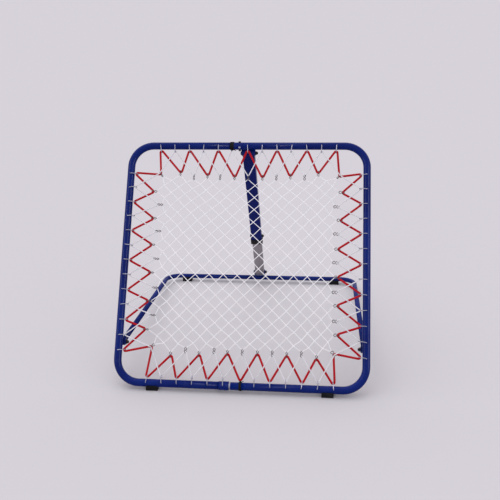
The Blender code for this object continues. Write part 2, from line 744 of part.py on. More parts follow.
def base_path(side, joint_x):
    bend = arc((BASE_HALF - BASE_BEND_R, BASE_LENGTH - BASE_BEND_R), BASE_BEND_R, 0, 90, BEND_STEPS)
    points = [(side * x, y, 0) for x, y in bend]
    return [(side * BASE_HALF, -ARM_END, 0), *points, (joint_x, BASE_LENGTH, 0)]


def add_base_half(name, side):
    joint_x = BASE_SPLIT_X + side * GAP / 2
    tube = hollow_tube(name, base_path(side, joint_x), BASE_TUBE_R, BASE_WALL)
    hold(tube, BASE_AXES)
    pin = solid_cylinder(PIVOT_BOLT_R + GAP, 4 * BASE_TUBE_R, 16, along="X")
    cut(tube, pin, BASE_AXES, (side * BASE_HALF, 0, 0))
    screw = solid_cylinder(FOOT_SCREW_R + GAP, BASE_TUBE_R, 12, (0, 0, -BASE_TUBE_R))
    cut(tube, screw, None, REAR_TUBE + MIDDLE + Vector((side * REAR_FOOT_X, 0, 0)))
    if side < 0:
        cut_rear_button_hole(tube)
    return paint(tube, BLUE, roughness=0.25)


def cut_rear_button_hole(obj):
    hole = solid_cylinder(REAR_BUTTON_R + GAP, BASE_TUBE_R, 16, (0, 0, BASE_TUBE_R))
    cut(obj, hole, BASE_AXES, (BASE_FASTENER_X, BASE_LENGTH, 0), (REAR_BUTTON_TILT, 0, 0))


def add_rear_joint():
    radius = BASE_TUBE_R - BASE_WALL - GAP
    plug = spigot("rear_joint_spigot", radius, BASE_SPIGOT_WALL, 2 * SPIGOT_REACH)
    hold(plug, BASE_AXES, (BASE_SPLIT_X, BASE_LENGTH, 0))
    cut_rear_button_hole(plug)
    paint(plug, ZINC, 1.0, 0.35)
    axes = add_axes("rear_button_axis", (BASE_FASTENER_X, BASE_LENGTH, 0), REAR_BUTTON_TILT, BASE_AXES)
    bore = radius - BASE_SPIGOT_WALL
    below = add_snap_button(
        "rear_snap_button", axes, REAR_BUTTON_R, REAR_BUTTON_FLANGE_R, BASE_TUBE_R, bore
    )
    add_button_spring("rear_button_spring", axes, below, 0.009, 0.026, 0.0035, 0.0005)


def add_arm_plug(name, side):
    """Plastic plug with a rounded nose in the open end of a base arm, slotted for the pivot bolt."""
    inside = BASE_TUBE_R - BASE_WALL - GAP
    cap = add_mesh(name, solid_cylinder(BASE_TUBE_R, 0.002, TUBE_SIDES, along="Y"))
    core = solid_cylinder(inside, 0.022, TUBE_SIDES, (0, 0.0105, 0), along="Y")
    add_on(cap, core, "core")
    pin = solid_cylinder(PIVOT_BOLT_R + GAP, 4 * BASE_TUBE_R, 16, along="X")
    cut(cap, pin, BASE_AXES, (side * BASE_HALF, 0, 0))
    hold(cap, BASE_AXES, (side * BASE_HALF, -ARM_END - GAP - 0.001, 0))
    paint(cap, BLACK, roughness=0.6)


# ---- feet ----

def add_foot(name, centre, size, tube_radius):
    """A rubber block saddled under a tube, flat on the floor, with a recess for its screw."""
    width, depth = size
    top = centre.z - 0.002
    foot = add_mesh(name, solid_box((width, depth, top), (0, 0, top / 2)))
    hold(foot, None, (centre.x, centre.y, 0))
    trough = solid_cylinder(tube_radius + GAP, width * 2, 32, along="X")
    cut(foot, trough, None, centre)
    recess = solid_cylinder(FOOT_RECESS_R, FOOT_RECESS_DEPTH * 2, 16)
    cut(foot, recess, foot)
    shank = solid_cylinder(FOOT_SCREW_R + GAP, 4 * depth, 16)
    cut(foot, shank, foot)
    paint(foot, BLACK, roughness=0.9)


def add_foot_screw(name, centre, tube_radius):
    """A pan-head screw from below, through the foot and into the tube."""
    seat = FOOT_RECESS_DEPTH - GAP
    length = centre.z - tube_radius - seat + 0.005
    screw = add_mesh(name, solid_cylinder(FOOT_SCREW_HEAD_R, 0.0022, 16, (0, 0, -0.0011)))
    shank = solid_cylinder(FOOT_SCREW_R, length + 0.001, 12, (0, 0, (length - 0.001) / 2))
    add_on(screw, shank, "shank")
    hold(screw, None, (centre.x, centre.y, seat))
    paint(screw, ZINC, 1.0, 0.35)


def add_feet():
    rows = (
        ("front", BOTTOM_TUBE, FRONT_FOOT_X, FRONT_FOOT, FRAME_TUBE_R),
        ("rear", REAR_TUBE, REAR_FOOT_X, REAR_FOOT, BASE_TUBE_R),
    )
    for row, tube, x, size, radius in rows:
        for label, side in (("left", -1), ("right", 1)):
            centre = tube + MIDDLE + Vector((side * x, 0, 0))
            add_foot(row + "_foot_" + label, centre, size, radius)
            add_foot_screw(row + "_foot_screw_" + label, centre, radius)


# ---- strut: local Z runs up the strut from the foot to the top pivot ----

def inner_width():
    return STRUT_OUTER_WIDTH - 2 * STRUT_WALL - 2 * STRUT_CLEARANCE


def inner_depth():
    return STRUT_OUTER_DEPTH - 2 * STRUT_WALL - 2 * STRUT_CLEARANCE


def foot_width():
    return inner_width()


def box_tube(name, width, depth, wall, length):
    outer = rounded_rectangle(width, depth, 0.003)
    inner = rounded_rectangle(width - 2 * wall, depth - 2 * wall, STRUT_CORNER_R)
    return plate(name, [outer, inner], length)


def add_outer_strut():
    length = STRUT_OUTER_LENGTH + STRUT_TOP_END
    tube = box_tube("strut_outer_tube", STRUT_OUTER_WIDTH, STRUT_OUTER_DEPTH, STRUT_WALL, length)
    hold(tube, STRUT_AXES, (0, 0, STRUT_TOP_END - length / 2))
    for place in (0, CLAMP_PLACE):
        pin = solid_cylinder(PIVOT_BOLT_R + GAP, 2 * STRUT_OUTER_WIDTH, 16, along="X")
        cut(tube, pin, STRUT_AXES, (0, 0, -place))
    paint(tube, BLUE, roughness=0.25)


def add_strut_cap():
    """The plastic cap in the strut's upper end."""
    width = STRUT_OUTER_WIDTH - 2 * STRUT_WALL - 2 * GAP
    depth = STRUT_OUTER_DEPTH - 2 * STRUT_WALL - 2 * GAP
    rim = rounded_rectangle(STRUT_OUTER_WIDTH, STRUT_OUTER_DEPTH, 0.003)
    cap = plate("strut_top_cap", [rim], 0.0015)
    hold(cap, STRUT_AXES, (0, 0, STRUT_TOP_END + GAP + 0.00075))
    plug = plate("strut_top_cap_plug", [rounded_rectangle(width, depth, STRUT_CORNER_R)], 0.004)
    join(cap, hold(plug, STRUT_AXES, (0, 0, STRUT_TOP_END - 0.0015)))
    paint(cap, BLACK, roughness=0.6)


def add_collar():
    """The plastic guide collar on the outer tube's lower end."""
    width = STRUT_OUTER_WIDTH + 2 * COLLAR_WALL
    depth = STRUT_OUTER_DEPTH + 2 * COLLAR_WALL
    bore_size = (STRUT_OUTER_WIDTH - 2 * STRUT_WALL, STRUT_OUTER_DEPTH - 2 * STRUT_WALL)
    bore = rounded_rectangle(*bore_size, STRUT_CORNER_R)
    collar = plate("strut_collar", [rounded_rectangle(width, depth, 0.004), bore], COLLAR_LENGTH)
    hold(collar, STRUT_AXES, (0, 0, -COLLAR_START - COLLAR_LENGTH / 2))
    socket = STRUT_OUTER_LENGTH + GAP - COLLAR_START
    room = solid_box((STRUT_OUTER_WIDTH + 2 * GAP, STRUT_OUTER_DEPTH + 2 * GAP, 2 * socket))
    cut(collar, room, STRUT_AXES, (0, 0, -COLLAR_START))
    paint(collar, BLACK, roughness=0.5)


def add_inner_strut():
    start = FOOT_END_R + 0.002
    length = STRUT_LENGTH - STRUT_OUTER_LENGTH + STRUT_OVERLAP - start
    tube = box_tube("strut_inner_tube", inner_width(), inner_depth(), STRUT_WALL, length)
    hold(tube, FOOT_AXES, (0, 0, start + length / 2))
    radius = PIVOT_BOLT_R + GAP
    low = STRUT_LENGTH - STRUT_SHORTER - CLAMP_PLACE
    high = STRUT_LENGTH + STRUT_LONGER - CLAMP_PLACE
    for end in (low, high):
        cut(tube, solid_cylinder(radius, 2 * STRUT_OUTER_WIDTH, 16, along="X"), FOOT_AXES, (0, 0, end))
    middle = solid_box((2 * STRUT_OUTER_WIDTH, 2 * radius, high - low))
    cut(tube, middle, FOOT_AXES, (0, 0, (high + low) / 2))
    paint(tube, (0.22, 0.20, 0.23), 0.8, 0.45)


def add_strut_foot():
    """The rounded end of the inner tube, plugged into it and bored for the foot bolt."""
    start = FOOT_END_R + 0.002
    nose = arc((0, 0), FOOT_END_R, 180, 360, 10)
    outline = [*nose, (FOOT_END_R, start - GAP), (-FOOT_END_R, start - GAP)]
    hole = circle(FOOT_HOLE_R, 20)
    foot = plate("strut_foot", [outline, hole], foot_width())
    hold(foot, FOOT_AXES, rotation=(math.radians(90), 0, math.radians(90)))
    width = inner_width() - 2 * STRUT_WALL - 2 * GAP
    depth = inner_depth() - 2 * STRUT_WALL - 2 * GAP
    plug = plate("strut_foot_plug", [rounded_rectangle(width, depth, STRUT_CORNER_R)], 0.024)
    join(foot, hold(plug, FOOT_AXES, (0, 0, start + 0.010)))
    paint(foot, (0.20, 0.19, 0.21), 0.3, 0.5)


def build():
    add_frame_half("frame_tube_left", -1)
    add_frame_half("frame_tube_right", 1)
    add_frame_joints()
    add_joint_bolt()
    add_top_button()
    add_cord_bands()
    add_elastic("red_elastic", "red", RED_R, RED_OUT, (0.55, 0.010, 0.015))
    add_elastic("white_elastic", "white", WHITE_R, WHITE_OUT, (0.85, 0.85, 0.86))
    add_net()
    add_top_bracket()
    ear = STRUT_OUTER_WIDTH / 2 + STRUT_CLEARANCE + PLATE + GAP
    add_cross_bolt("top_pivot", FRAME_AXES, ear, (0, STRUT_TOP_UP, STRUT_TOP_OUT))
    for label, side in (("left", -1), ("right", 1)):
        add_pivot_lug("pivot_lug_" + label, side)
        add_side_pivot(label, side)
        add_base_half("base_tube_" + label, side)
        add_arm_plug("arm_plug_" + label, side)
    add_rear_joint()
    add_foot_bracket()
    ear = foot_width() / 2 + STRUT_CLEARANCE + GAP / 2 + PLATE + GAP
    add_cross_bolt("foot_pivot", BASE_AXES, ear, (0, BASE_LENGTH, STRUT_FOOT_RISE))
    add_feet()
    add_outer_strut()
    add_strut_cap()
    add_collar()
    add_inner_strut()
    add_strut_foot()
    add_cross_bolt("clamp", CLAMP_AXES, STRUT_OUTER_WIDTH / 2 + GAP)


clear_scene()
ROTATE_Z_TO_X = Vector((0, 0, 1)).rotation_difference(Vector((1, 0, 0))).to_matrix()
ROTATE_Z_TO_Y = Vector((0, 0, 1)).rotation_difference(Vector((0, 1, 0))).to_matrix()
PARTS = new_collection("rebound_net_frame")
CUTTERS = new_collection("cutters")
FRAME_AXES = add_axes("frame_plane", MIDDLE + Vector((0, 0, FRAME_LIFT)), FRAME_LEAN)
BASE_AXES = add_axes("base_pivot", SIDE_PIVOT + MIDDLE, BASE_TILT)
STRUT_AXES = add_axes("strut_pivot", STRUT_PIVOT + MIDDLE, STRUT_TILT)
FOOT_AXES = add_axes("strut_foot_pivot", (0, 0, -STRUT_LENGTH), 0, STRUT_AXES)
CLAMP_AXES = add_axes("clamp_axis", (0, 0, -CLAMP_PLACE), 0, STRUT_AXES)
build()
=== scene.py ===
"""Rebound-net frame: a square of blue steel tube on a hinged base, with a net hung on elastics."""

import json
import math

import bmesh
import bpy
import numpy as np
from mathutils import Matrix, Vector


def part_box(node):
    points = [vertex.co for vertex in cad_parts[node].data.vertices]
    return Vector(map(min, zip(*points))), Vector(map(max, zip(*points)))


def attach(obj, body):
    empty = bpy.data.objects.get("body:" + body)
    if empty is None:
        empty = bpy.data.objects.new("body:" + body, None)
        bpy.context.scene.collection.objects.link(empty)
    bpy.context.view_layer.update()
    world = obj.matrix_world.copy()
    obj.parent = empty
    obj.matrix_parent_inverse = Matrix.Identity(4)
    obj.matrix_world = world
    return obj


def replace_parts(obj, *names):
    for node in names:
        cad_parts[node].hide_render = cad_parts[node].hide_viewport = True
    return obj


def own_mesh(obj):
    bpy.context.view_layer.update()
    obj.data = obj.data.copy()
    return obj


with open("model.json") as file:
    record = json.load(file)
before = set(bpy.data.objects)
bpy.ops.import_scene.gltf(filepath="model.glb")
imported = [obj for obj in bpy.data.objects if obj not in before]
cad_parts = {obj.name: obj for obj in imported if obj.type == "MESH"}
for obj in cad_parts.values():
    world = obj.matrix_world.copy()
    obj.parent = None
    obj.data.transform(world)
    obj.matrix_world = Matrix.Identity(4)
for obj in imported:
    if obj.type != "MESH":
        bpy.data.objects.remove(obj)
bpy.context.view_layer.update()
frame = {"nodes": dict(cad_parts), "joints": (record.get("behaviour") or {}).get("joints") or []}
nodes = frame["nodes"]
joints = {joint["name"]: joint for joint in frame["joints"]}


# ---- Floor, light and camera ----
# A seamless sheet of pale paper under the frame, lit evenly by the room and a high window. Two tall
# softboxes put the long highlights on the tubes. The camera stands in front, a little to the right.

FLOOR_REACH = 60
work = bmesh.new()
bmesh.ops.create_grid(work, x_segments=2, y_segments=2, size=FLOOR_REACH)
floor_mesh = bpy.data.meshes.new("studio_floor")
work.to_mesh(floor_mesh)
work.free()
studio_floor = bpy.data.objects.new("studio_floor", floor_mesh)
bpy.context.scene.collection.objects.link(studio_floor)
paper = bpy.data.materials.new("studio_paper")
paper.use_nodes = True
paper_shader = paper.node_tree.nodes["Principled BSDF"]
paper_shader.inputs["Base Color"].default_value = (0.522, 0.504, 0.523, 1)
paper_shader.inputs["Roughness"].default_value = 0.9
paper_shader.inputs["Specular IOR Level"].default_value = 0.0
studio_floor.data.materials.append(paper)


def aim(obj, target):
    """Points a lamp at a place."""
    obj.rotation_euler = (Vector(target) - obj.location).to_track_quat("-Z", "Y").to_euler()


def softbox(name, location, target, size, power):
    """A tall soft lamp that only shows as a highlight on glossy pieces."""
    lamp = bpy.data.lights.new(name, "AREA")
    lamp.shape = "RECTANGLE"
    lamp.size, lamp.size_y = size
    lamp.energy = power
    obj = bpy.data.objects.new(name, lamp)
    obj.location = location
    obj.visible_diffuse = False
    bpy.context.scene.collection.objects.link(obj)
    aim(obj, target)


softbox("softbox_right", (3.2, -1.6, 2.0), (0.2, 0, 0.4), (0.5, 2.6), 70)
softbox("softbox_left", (-3.2, -1.6, 2.4), (-0.2, 0, 0.4), (0.5, 2.6), 45)

sky = bpy.data.lights.new("high_window", "SUN")
sky.energy = 0.95
sky.angle = math.radians(60)
high_window = bpy.data.objects.new("high_window", sky)
high_window.location = (-0.9, 1.1, 3.0)
bpy.context.scene.collection.objects.link(high_window)
aim(high_window, (0, 0, 0))

room = bpy.data.worlds.new("studio_room")
room.use_nodes = True
room_light = room.node_tree.nodes["Background"]
room_light.inputs["Color"].default_value = (0.97, 0.95, 1.0, 1)
room_light.inputs["Strength"].default_value = 1.06
far_wall = room.node_tree.nodes.new("ShaderNodeBackground")
far_wall.inputs["Color"].default_value = (0.665, 0.634, 0.676, 1)
seen = room.node_tree.nodes.new("ShaderNodeLightPath")
either = room.node_tree.nodes.new("ShaderNodeMixShader")
room.node_tree.links.new(seen.outputs["Is Camera Ray"], either.inputs["Fac"])
room.node_tree.links.new(room_light.outputs["Background"], either.inputs[1])
room.node_tree.links.new(far_wall.outputs["Background"], either.inputs[2])
room.node_tree.links.new(either.outputs["Shader"], room.node_tree.nodes["World Output"].inputs["Surface"])
bpy.context.scene.world = room
bpy.context.scene.view_settings.view_transform = "Standard"

CAMERA_SPOT = (0.29175, -2.46483, 1.51755)
YAW = math.radians(6.604)
PITCH = math.radians(24.45)
ROLL = math.radians(1.708)
LENS_MM = 46.008
camera_data = bpy.data.cameras.new("camera")
camera_data.sensor_width = 36
camera_data.lens = LENS_MM
camera_data.shift_y = 0.001
camera = bpy.data.objects.new("camera", camera_data)
turn_head = Matrix.Rotation(YAW, 4, "Z")
look_down = Matrix.Rotation(math.radians(90) - PITCH, 4, "X")
lean_head = Matrix.Rotation(-ROLL, 4, "Z")
camera.matrix_world = Matrix.Translation(CAMERA_SPOT) @ turn_head @ look_down @ lean_head
bpy.context.scene.collection.objects.link(camera)
bpy.context.scene.camera = camera


# ---- Front frame tubes ----
# Two halves of 30 mm round steel tube, bent cold at the corners and powder coated in glossy blue.
# They plug together at the top and bottom, and the wire hooks sit in holes drilled in the front.


class Value:
    """A number or colour on its way through a material's nodes. Arithmetic on it adds Math nodes."""

    def __init__(self, finish, socket):
        self.finish = finish
        self.socket = socket

    def maths(self, operation, *values, clamp=False):
        settings = {"operation": operation, "use_clamp": clamp}
        return self.finish.node("ShaderNodeMath", settings, dict(enumerate(values)))

    def __add__(self, other):
        return self.maths("ADD", self, other)

    def __mul__(self, other):
        return self.maths("MULTIPLY", self, other)

    def __sub__(self, other):
        return self.maths("SUBTRACT", self, other)

    def __rsub__(self, other):
        return self.maths("SUBTRACT", other, self)

    __radd__ = __add__
    __rmul__ = __mul__

    def sine(self):
        return self.maths("SINE", self)

    def size(self):
        return self.maths("ABSOLUTE", self)

    def clamped(self):
        return self.maths("ADD", self, 0.0, clamp=True)


class Finish:
    """A material built round one Principled shader."""

    def __init__(self, name, **plain):
        self.material = bpy.data.materials.new(name)
        self.material.use_nodes = True
        self.tree = self.material.node_tree
        self.shader = self.tree.nodes["Principled BSDF"]
        for socket, value in plain.items():
            self.shader.inputs[socket.replace("_", " ")].default_value = value

    def node(self, kind, settings, inputs, output=0):
        made = self.tree.nodes.new(kind)
        for key, value in settings.items():
            setattr(made, key, value)
        for key, value in inputs.items():
            if isinstance(value, Value):
                self.tree.links.new(value.socket, made.inputs[key])
            else:
                made.inputs[key].default_value = value
        return Value(self, made.outputs[output])

    def place(self, scale=(1, 1, 1), turn=(0, 0, 0), source="Object"):
        """Coordinates on the piece, stretched and turned to suit its pattern."""
        coordinates = self.node("ShaderNodeTexCoord", {}, {}, source)
        inputs = {"Vector": coordinates, "Scale": scale, "Rotation": turn}
        return self.node("ShaderNodeMapping", {}, inputs)

    def noise(self, place, scale, detail=3.0, roughness=0.5):
        inputs = {"Vector": place, "Scale": scale, "Detail": detail, "Roughness": roughness}
        return self.node("ShaderNodeTexNoise", {}, inputs, "Fac")

    def spread(self, value, low, high, to_low=0.0, to_high=1.0):
        """Stretches the band from low to high over to_low to to_high, and holds it there."""
        band = {"From Min": low, "From Max": high, "To Min": to_low, "To Max": to_high}
        return self.node("ShaderNodeMapRange", {"clamp": True}, {"Value": value, **band})

    def blend(self, mask, first, second):
        inputs = {"Factor": mask, 6: first, 7: second}
        return self.node("ShaderNodeMix", {"data_type": "RGBA"}, inputs, 2)

    def bump(self, height, strength, distance):
        inputs = {"Height": height, "Strength": strength, "Distance": distance}
        return self.node("ShaderNodeBump", {}, inputs)

    def feed(self, **values):
        """Links patterns to the shader's sockets."""
        for socket, value in values.items():
            self.tree.links.new(value.socket, self.shader.inputs[socket.replace("_", " ")])


RUBBED_BLUE = (0.035, 0.048, 0.19, 1)
SPECK_BLUE = (0.10, 0.12, 0.25, 1)


def powder_coat(name, deep, bright, handling):
    """Gloss powder coat: faint orange peel, slow changes of tone and dull patches where hands rub."""
    finish = Finish(name, Specular_IOR_Level=0.08, Coat_Weight=0.02, Coat_Roughness=0.10)
    place = finish.place()
    tone = finish.spread(finish.noise(place, 7.0), 0.35, 0.65)
    rubbed = finish.spread(finish.noise(place, 23.0, 6.0, 0.65), 0.56, 0.72)
    specks = finish.spread(finish.noise(place, 420.0, 2.0), 0.70, 0.76)
    colour = finish.blend(tone, (*deep, 1), (*bright, 1))
    worn = finish.blend(rubbed * handling, colour, RUBBED_BLUE)
    orange_peel = finish.noise(place, 620.0, 2.0) + finish.noise(place, 150.0)
    finish.feed(
        Base_Color=finish.blend(specks * 0.35, worn, SPECK_BLUE),
        Roughness=(rubbed * 0.22 + tone * 0.05 + 0.20).clamped(),
        Normal=finish.bump(orange_peel, 0.10, 0.0004),
    )
    return finish


LEAN = math.radians(55)
FRAME_BOTTOM = (0, -0.469548, 0.012)  # the middle of the frame's lower edge
FRAME_PLANE = Matrix.Translation(FRAME_BOTTOM) @ Matrix.Rotation(LEAN, 4, "X")
FRAME_SIDE = 1.000
TUBE_R = 0.015
TUBE_WALL = 0.0015
HALF = FRAME_SIDE / 2 - TUBE_R
MID = FRAME_SIDE / 2
CORNER_R = 0.090
TOP_SPLIT = -0.020
TOP_GAP = 0.0003
BOTTOM_SPLIT = -0.035
BOTTOM_GAP = 0.006
CREASE = math.radians(38)  # edges sharper than this stay sharp
frame_blue = powder_coat("frame_blue", (0.0008, 0.0085, 0.105), (0.0016, 0.0135, 0.140), 0.12)


def loose_object(name, work, finish, body, place=None):
    """Turns a bmesh into a piece that rides on a body, with its place worked into its mesh."""
    if place is not None:
        bmesh.ops.transform(work, matrix=place, verts=work.verts)
    bmesh.ops.recalc_face_normals(work, faces=work.faces)
    mesh = bpy.data.meshes.new(name)
    work.to_mesh(mesh)
    work.free()
    mesh.shade_smooth()
    mesh.set_sharp_from_angle(angle=CREASE)
    mesh.materials.append(finish.material)
    obj = bpy.data.objects.new(name, mesh)
    bpy.context.scene.collection.objects.link(obj)
    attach(obj, body)
    return obj


def start_ring(work, radius, centre, sides=40):
    """The open end of a tube that runs along X."""
    matrix = Matrix.Translation(centre) @ Matrix.Rotation(math.radians(90), 4, "Y")
    bmesh.ops.create_circle(work, cap_ends=False, segments=sides, radius=radius, matrix=matrix)
    return work.verts[:] + work.edges[:]


def draw_on(work, ring, shift):
    """Draws the tube's open end out in a straight line."""
    edges = [part for part in ring if isinstance(part, bmesh.types.BMEdge)]
    drawn = bmesh.ops.extrude_edge_only(work, edges=edges)["geom"]
    ends = [part for part in drawn if isinstance(part, bmesh.types.BMVert)]
    bmesh.ops.translate(work, verts=ends, vec=shift)
    return ends + [part for part in drawn if isinstance(part, bmesh.types.BMEdge)]


def bend_on(work, ring, centre, degrees, steps=14):
    """Bends the tube's open end round a former whose axis stands on the frame plane."""
    bent = bmesh.ops.spin(
        work, geom=ring, cent=centre, axis=(0, 0, 1), angle=math.radians(degrees), steps=steps,
        use_duplicate=False,
    )
    return bent["geom_last"]


def give_wall(obj, wall):
    """Makes a tube of a skin, with the wall inside it."""
    shell = obj.modifiers.new("Wall", "SOLIDIFY")
    shell.thickness = wall
    shell.offset = -1
    shell.use_even_offset = True
    return obj


def frame_half(name, side, top_x, bottom_x):
    """One half of the frame, from its end at the top joint round both corners to the bottom joint."""
    work = bmesh.new()
    corner = HALF - CORNER_R
    ring = start_ring(work, TUBE_R, (top_x, FRAME_SIDE - TUBE_R, 0))
    ring = draw_on(work, ring, (side * corner - top_x, 0, 0))
    ring = bend_on(work, ring, (side * corner, MID + corner, 0), -90 * side)
    ring = draw_on(work, ring, (0, -2 * corner, 0))
    ring = bend_on(work, ring, (side * corner, MID - corner, 0), -90 * side)
    draw_on(work, ring, (bottom_x - side * corner, 0, 0))
    tube = loose_object(name, work, frame_blue, "front_frame", FRAME_PLANE)
    return give_wall(tube, TUBE_WALL)


tube_left = frame_half("frame_left_half", -1, TOP_SPLIT - TOP_GAP / 2, BOTTOM_SPLIT - BOTTOM_GAP / 2)
tube_right = frame_half("frame_right_half", 1, TOP_SPLIT + TOP_GAP / 2, BOTTOM_SPLIT + BOTTOM_GAP / 2)
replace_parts(tube_left, "frame_tube_left")
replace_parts(tube_right, "frame_tube_right")


# ---- Plug joints of the frame ----
# Zinc plated steel plugs join the two halves from inside. The lower one shows in the gap beside a short
# sleeve, which is welded on the left half and painted with it.

PLUG_R = 0.0132
PLUG_WALL = 0.0015
zinc = Finish("bright_zinc", Metallic=1.0)
place = zinc.place()
spangle = zinc.noise(place, 90.0, 3.0)
zinc.feed(
    Base_Color=zinc.blend(
        zinc.spread(spangle, 0.3, 0.7), (0.24, 0.24, 0.29, 1), (0.38, 0.38, 0.45, 1)
    ),
    Roughness=zinc.spread(zinc.noise(place, 240.0), 0.3, 0.7, 0.38, 0.55),
    Normal=zinc.bump(spangle, 0.12, 0.0003),
)


def straight_tube(
    name, radius, wall, low, high, finish, up=TUBE_R, body="front_frame", place=FRAME_PLANE
):
    """A tube along X from low to high, with its centre line up from the place's origin."""
    work = bmesh.new()
    ring = start_ring(work, radius, (low, up, 0), 36)
    draw_on(work, ring, (high - low, 0, 0))
    return give_wall(loose_object(name, work, finish, body, place), wall)


top_spigot = straight_tube(
    "top_plug", PLUG_R, PLUG_WALL, -0.080, 0.040, zinc, FRAME_SIDE - TUBE_R
)
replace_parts(top_spigot, "top_joint_spigot")
bottom_spigot = straight_tube("bottom_plug", PLUG_R, PLUG_WALL, -0.095, 0.025, zinc)
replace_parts(bottom_spigot, "bottom_joint_spigot")
sleeve_end = BOTTOM_SPLIT - BOTTOM_GAP / 2  # flush with the left half
sleeve = straight_tube("bottom_sleeve", 0.0170, 0.0017, -0.078, sleeve_end, frame_blue)
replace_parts(sleeve, "bottom_joint_sleeve")


# ---- Elastics ----
# Two closed loops of braided elastic cord, laced as zigzags between the frame's hooks and the net's links:
# a thick red one, and a thin white one in front of it.

LAST_HOOK_INSET = 0.1226
LAST_LINK_INSET = 0.202
HOOK_PITCH = (HALF - LAST_HOOK_INSET) / 6
LINK_PITCH = (HALF - LAST_LINK_INSET) / 5
PIN_IN = HALF - 0.030
HOOK_WIRE_R = 0.0015
RED_R = 0.00425
WHITE_R = 0.00225
RED_OUT = 0.0042
WHITE_OUT = 0.0114
SNUG = 0.0003  # air between a cord and the wire it bends round
SIDES = ("top", "right", "bottom", "left")
# Each side's links: their shift along it, the red turns' distance in from the tube, the bow and slant of
# that row, and the white turns' distance in.
LACING = {
    "top": (0.0075, 0.1180, 0.0180, 0.0000, 0.1260),
    "right": (-0.0030, 0.1005, 0.0070, -0.0065, 0.1100),
    "bottom": (-0.0120, 0.1092, 0.0125, 0.0035, 0.1190),
    "left": (0.0043, 0.0990, 0.0057, 0.0015, 0.1220),
}
# The corner link that ends each side: its distance in from the next side, and from its own.
CORNER_PINS = {
    "top": (0.105, 0.124),
    "right": (0.129, 0.118),
    "bottom": (0.130, 0.135),
    "left": (0.119, 0.122),
}
BAND_AT = {("top", -1): -0.064, ("bottom", 0): -0.006}  # a cord band takes a hook's place here
END_HOOK_SHIFT = 0.003
fingers = np.random.default_rng(11)  # small unevenness of a laced net
hook_slip = {(side, i): fingers.normal(0, 0.0011) for side in SIDES for i in range(-6, 7)}
link_slip = {(side, i): fingers.normal(0, 0.0016, 2) for side in SIDES for i in range(-5, 7)}


def side_point(side, along, reach):
    """A point of the frame plane, counted along one side, clockwise, and out from the frame's middle."""
    across, up = {
        "top": (along, reach),
        "right": (reach, -along),
        "bottom": (-along, -reach),
        "left": (-reach, along),
    }[side]
    return Vector((across, MID + up))


def hook_place(side, i):
    """Distance along a side of one hook, or of the cord band that takes its place."""
    if (side, i) in BAND_AT:
        return BAND_AT[side, i]
    drawn_in = END_HOOK_SHIFT * np.sign(i) if abs(i) == 6 else 0.0
    return i * HOOK_PITCH - drawn_in + hook_slip[side, i]


def link_place(side, i):
    """Distance along a side, and out from the middle, of one link's outer end. Number 6 is the corner's."""
    if i == 6:
        along, reach = CORNER_PINS[side]
        return HALF - along, HALF - reach
    along_slip, out_slip = link_slip[side, i]
    shift, red_inset, bow, slant, white_inset = LACING[side]
    along = i * LINK_PITCH + shift + along_slip
    if i % 2 == 0:
        return along, HALF - white_inset + out_slip * 0.6
    return along, HALF - red_inset + bow * ((i / 5) ** 2 - 0.5) + slant * i / 5 + out_slip * 0.6


def lacing(last):
    """Every turn of one elastic in order: its centre, and -1 at a hook or +1 at a link. It uses every other
    hook of a side, out to the last."""
    turns = []
    for side in SIDES:
        for i in range(-last, last + 1):
            if (i + last) % 2 == 0:
                turns.append((side_point(side, hook_place(side, i), PIN_IN), -1))
            else:
                turns.append((side_point(side, *link_place(side, i)), 1))
        turns.append((side_point(side, *link_place(side, 6)), 1))
    return turns


def pulled_tight(turns, radius, steps):
    """The closed line of a cord pulled tight round its turns, each an arc of the radius."""
    headings = []
    for (here, turn), (there, next_turn) in zip(turns, turns[1:] + turns[:1]):
        across = there - here
        slew = math.asin((next_turn - turn) * radius / across.length)
        headings.append(math.atan2(across.y, across.x) - slew)
    line = []
    for index, (centre, turn) in enumerate(turns):
        swing = (headings[index] - headings[index - 1] + math.pi) % math.tau - math.pi
        for step in range(steps + 1):
            angle = headings[index - 1] + swing * step / steps - turn * math.pi / 2
            line.append(centre + radius * Vector((math.cos(angle), math.sin(angle))))
    return line


def cord_mesh(name, lines, radius, sides, closed=False):
    """The mesh of one or more cords along their lines, with UV coordinates round and along each."""
    drawing = bpy.data.curves.new(name, "CURVE")
    drawing.dimensions = "3D"
    drawing.bevel_depth = radius
    drawing.bevel_resolution = sides // 2 - 2
    drawing.use_fill_caps = not closed
    for line in lines:
        spline = drawing.splines.new("POLY")
        spline.points.add(len(line) - 1)
        for point, place in zip(spline.points, line):
            point.co = (*place, 1)
        spline.use_cyclic_u = closed
    obj = bpy.data.objects.new(name, drawing)
    bpy.context.scene.collection.objects.link(obj)
    bpy.context.view_layer.update()
    drawn = obj.evaluated_get(bpy.context.evaluated_depsgraph_get())
    mesh = bpy.data.meshes.new_from_object(drawn)
    bpy.data.objects.remove(obj, do_unlink=True)
    bpy.data.curves.remove(drawing)
    work = bmesh.new()
    work.from_mesh(mesh)
    bpy.data.meshes.remove(mesh)
    bmesh.ops.remove_doubles(work, verts=work.verts, dist=1e-6)
    return work


